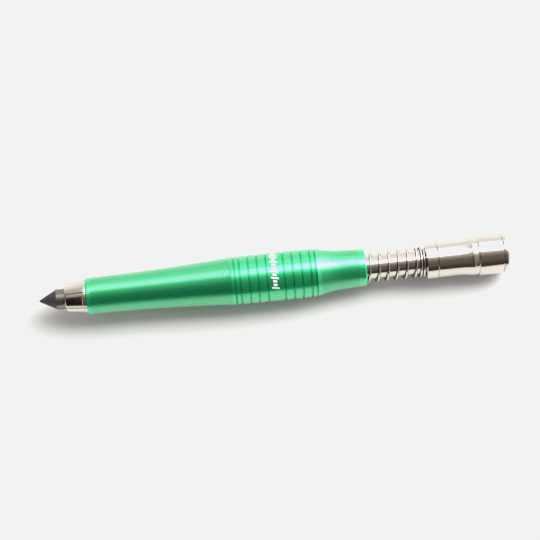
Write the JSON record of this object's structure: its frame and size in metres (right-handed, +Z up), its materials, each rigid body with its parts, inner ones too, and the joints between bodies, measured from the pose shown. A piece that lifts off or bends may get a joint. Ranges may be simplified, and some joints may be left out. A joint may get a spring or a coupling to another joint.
{
  "type": "lead holder",
  "caption": "Clutch lead holder for thick drawing leads: tapered barrel with grooved grip band, slit jaws at the mouth, open coil spring and push knob at the rear.",
  "frame": {"origin": "on the axis, at the middle of the plain land of the grip band, where the holder is held", "axes": "+X along the pen from its lead point towards the push knob, +Z up, +Y across"},
  "size_m": [0.127, 0.0132, 0.0132],
  "materials": {
    "green_anodised": "satin anodised",
    "nickel": "bright nickel plate",
    "spring_steel": "bright",
    "graphite": "matt with a faint sheen",
    "brass": "machined",
    "blade_steel": "ground"
  },
  "bodies": {
    "barrel_body": {"barrel": "green_anodised", "spring": "spring_steel"},
    "clutch": {"collet_base": "nickel", "collet_tube": "nickel", "tube_collar": "nickel", "knob_sleeve": "nickel"},
    "lead_stick": {"lead": "graphite"},
    "cap_carrier": {"seam_ring": "nickel"},
    "cap": {"rear_cap": "nickel", "end_plug": "nickel", "pointer_body": "brass", "pointer_blade": "blade_steel", "blade_screw": "blade_steel"},
    "jaw_1_body": {"jaw_1": "nickel"},
    "jaw_2_body": {"jaw_2": "nickel"},
    "jaw_3_body": {"jaw_3": "nickel"},
    "jaw_4_body": {"jaw_4": "nickel"},
    "jaw_5_body": {"jaw_5": "nickel"},
    "jaw_6_body": {"jaw_6": "nickel"}
  },
  "joints": [
    {"name": "push", "type": "slide", "parent": "barrel_body", "child": "clutch", "axis": [-1, 0, 0], "range_m": [0, 0.006], "stiffness_N_per_m": 900, "springref_m": -0.006, "deforming": ["spring"]},
    {"name": "jaw_1_flex", "type": "hinge", "parent": "clutch", "child": "jaw_1_body", "pos_m": [-0.02895, 0.00314, 0], "axis": [0, 0, -1], "range_deg": [0, 1.6]},
    {"name": "jaw_2_flex", "type": "hinge", "parent": "clutch", "child": "jaw_2_body", "pos_m": [-0.02895, 0.00157, 0.00272], "axis": [0, 0.866, -0.5], "range_deg": [0, 1.6]},
    {"name": "jaw_3_flex", "type": "hinge", "parent": "clutch", "child": "jaw_3_body", "pos_m": [-0.02895, -0.00157, 0.00272], "axis": [0, 0.866, 0.5], "range_deg": [0, 1.6]},
    {"name": "jaw_4_flex", "type": "hinge", "parent": "clutch", "child": "jaw_4_body", "pos_m": [-0.02895, -0.00314, 0], "axis": [0, 0, 1], "range_deg": [0, 1.6]},
    {"name": "jaw_5_flex", "type": "hinge", "parent": "clutch", "child": "jaw_5_body", "pos_m": [-0.02895, -0.00157, -0.00272], "axis": [0, -0.866, 0.5], "range_deg": [0, 1.6]},
    {"name": "jaw_6_flex", "type": "hinge", "parent": "clutch", "child": "jaw_6_body", "pos_m": [-0.02895, 0.00157, -0.00272], "axis": [0, -0.866, -0.5], "range_deg": [0, 1.6]},
    {"name": "lead_feed", "type": "slide", "parent": "clutch", "child": "lead_stick", "axis": [-1, 0, 0], "range_m": [-0.0068, 0.06]},
    {"name": "cap_unscrew", "type": "hinge", "parent": "cap_carrier", "child": "cap", "pos_m": [0.05405, 0, 0], "axis": [1, 0, 0], "range_deg": [0, 2160]},
    {"name": "cap_back_off", "type": "slide", "parent": "clutch", "child": "cap_carrier", "axis": [1, 0, 0], "range_m": [0, 0.0061]}
  ],
  "couplings": [
    {"joint": "jaw_1_flex", "follows": "push", "rad_per_m": 4.3633},
    {"joint": "jaw_2_flex", "follows": "push", "rad_per_m": 4.3633},
    {"joint": "jaw_3_flex", "follows": "push", "rad_per_m": 4.3633},
    {"joint": "jaw_4_flex", "follows": "push", "rad_per_m": 4.3633},
    {"joint": "jaw_5_flex", "follows": "push", "rad_per_m": 4.3633},
    {"joint": "jaw_6_flex", "follows": "push", "rad_per_m": 4.3633},
    {"joint": "cap_back_off", "follows": "cap_unscrew", "m_per_rad": 0.00015915}
  ]
}
